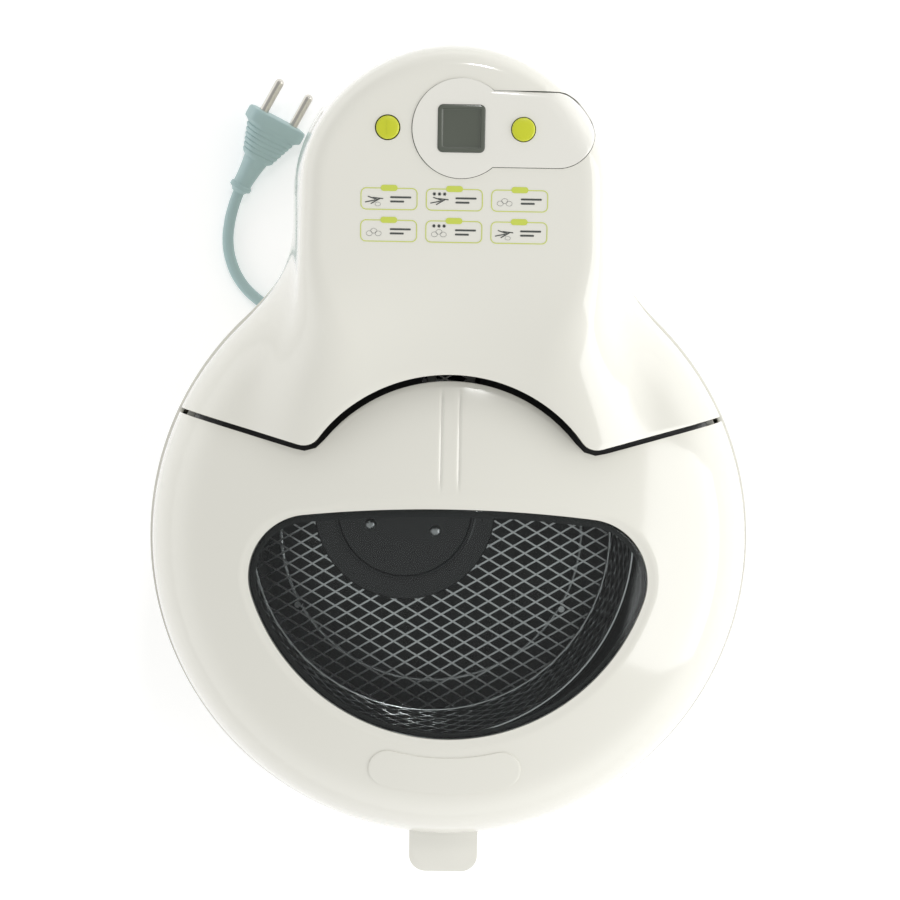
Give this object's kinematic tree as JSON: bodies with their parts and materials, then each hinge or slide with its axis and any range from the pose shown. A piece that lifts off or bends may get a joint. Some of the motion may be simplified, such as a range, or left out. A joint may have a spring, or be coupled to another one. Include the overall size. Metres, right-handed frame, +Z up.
{
  "type": "air fryer",
  "caption": "Low round hot-air fryer with a windowed hinged lid, a rear housing with sloping control panel, a lift-out pan with folding handle, and a mesh basket.",
  "frame": {"origin": "on the table plane, in the middle of the outline without the cord", "axes": "+Z up, +Y from the latch to the rear housing, +X to the user's right"},
  "size_m": [0.284, 0.3941, 0.2171],
  "materials": {
    "white_shell": "moulded, glossy",
    "inlay_plastic": "moulded, glossy",
    "black_plastic": "moulded, fine texture",
    "pan_coating": "non-stick coating with fine speckle",
    "foot_rubber": "matte",
    "gasket_rubber": "matte",
    "bumper_rubber": "matte",
    "lime_plastic": "moulded, satin",
    "grey_plastic": "moulded, satin",
    "window_clear": "clear, polished",
    "display_dark": "dark lens",
    "board_laminate": "solder mask",
    "gear_nylon": "moulded nylon",
    "bronze_bush": "sintered",
    "liner_aluminium": "satin",
    "sheet_steel": "pressed sheet",
    "mesh_steel": "bright drawn mesh",
    "turned_steel": "turned",
    "element_steel": "heat-tinted",
    "thermostat_ceramic": "glazed",
    "cord_sheath": "satin sheath",
    "tie_plastic": "coated wire tie",
    "pin_nickel": "nickel plated"
  },
  "bodies": {
    "base": {"base_housing": "white_shell", "rear_cover": "white_shell", "panel_inlay": "inlay_plastic", "bottom_cover": "black_plastic", "fan_motor": "black_plastic", "seam_trough": "black_plastic", "pan": "pan_coating", "rubber_feet": "foot_rubber", "seam_bumpers": "bumper_rubber", "guide_labels": "lime_plastic", "display_lens": "display_dark", "display_module": "display_dark", "control_board": "board_laminate", "power_board": "board_laminate", "shaft_bushing": "bronze_bush", "cooking_liner": "liner_aluminium", "fan_housing": "sheet_steel", "air_outlet_grille": "sheet_steel", "gear_plate": "sheet_steel", "hinge_bracket": "sheet_steel", "latch_catch": "sheet_steel", "pan_bracket": "sheet_steel", "mesh_basket": "mesh_steel", "basket_rim": "mesh_steel", "bottom_screws": "turned_steel", "hinge_pin": "turned_steel", "handle_pin": "turned_steel", "on_off_switch": "turned_steel", "timer_switch": "turned_steel", "thermal_fuse": "turned_steel", "stirrer_motor": "turned_steel", "heating_element": "element_steel", "thermostat": "thermostat_ceramic", "cord_gland": "cord_sheath", "cord_lead": "cord_sheath", "cord_coil": "cord_sheath", "cord_tube": "cord_sheath", "plug_body": "cord_sheath", "cord_tie": "tie_plastic", "plug_pins": "pin_nickel"},
    "lid": {"lid_shell": "white_shell", "lid_window": "window_clear", "window_gasket": "gasket_rubber", "lid_inner_frame": "black_plastic", "lid_deflector": "black_plastic", "deflector_screws": "turned_steel", "hinge_arms": "grey_plastic", "latch_pin": "turned_steel", "latch_spring": "turned_steel"},
    "latch": {"lid_latch": "white_shell"},
    "power_key": {"on_off_button": "lime_plastic"},
    "timer_key": {"timer_button": "lime_plastic"},
    "fan": {"circulation_fan": "sheet_steel", "fan_shaft": "turned_steel"},
    "stirrer": {"drive_gear": "gear_nylon", "drive_shaft": "turned_steel"},
    "pinion": {"motor_pinion": "turned_steel"},
    "handle": {"pan_handle": "white_shell", "handle_spring": "turned_steel"},
    "handle_release": {"handle_button": "grey_plastic"}
  },
  "joints": [
    {"name": "lid_hinge", "type": "hinge", "parent": "base", "child": "lid", "pos_m": [0, 0.0485, 0.17394], "axis": [-1, 0, 0], "range_deg": [0, 70]},
    {"name": "lid_latch_press", "type": "hinge", "parent": "lid", "child": "latch", "pos_m": [0, -0.1685, 0.124], "axis": [1, 0, 0], "range_deg": [0, 12], "stiffness_Nm_per_rad": 0.3, "springref_deg": -11.46},
    {"name": "on_off_press", "type": "slide", "parent": "base", "child": "power_key", "axis": [0, 0.1219, -0.9925], "range_m": [0, 0.0015], "stiffness_N_per_m": 400, "springref_m": -0.001},
    {"name": "timer_press", "type": "slide", "parent": "base", "child": "timer_key", "axis": [0, 0.1219, -0.9925], "range_m": [0, 0.0015], "stiffness_N_per_m": 400, "springref_m": -0.001},
    {"name": "fan_spin", "type": "hinge", "parent": "base", "child": "fan", "pos_m": [0, 0.1405, 0.13], "axis": [0, 0, 1], "continuous": true},
    {"name": "stirrer_spin", "type": "hinge", "parent": "base", "child": "stirrer", "pos_m": [0, -0.0375, 0.014], "axis": [0, 0, 1], "continuous": true},
    {"name": "pinion_spin", "type": "hinge", "parent": "base", "child": "pinion", "pos_m": [0, 0, 0.014], "axis": [0, 0, 1], "continuous": true},
    {"name": "handle_fold", "type": "hinge", "parent": "base", "child": "handle", "pos_m": [0, -0.1875, 0.099], "axis": [-1, 0, 0], "range_deg": [0, 90]},
    {"name": "handle_release_slide", "type": "slide", "parent": "handle", "child": "handle_release", "axis": [0, 0, -1], "range_m": [0, 0.003], "stiffness_N_per_m": 300, "springref_m": -0.002}
  ],
  "couplings": [
    {"joint": "pinion_spin", "follows": "stirrer_spin", "ratio": -4}
  ]
}
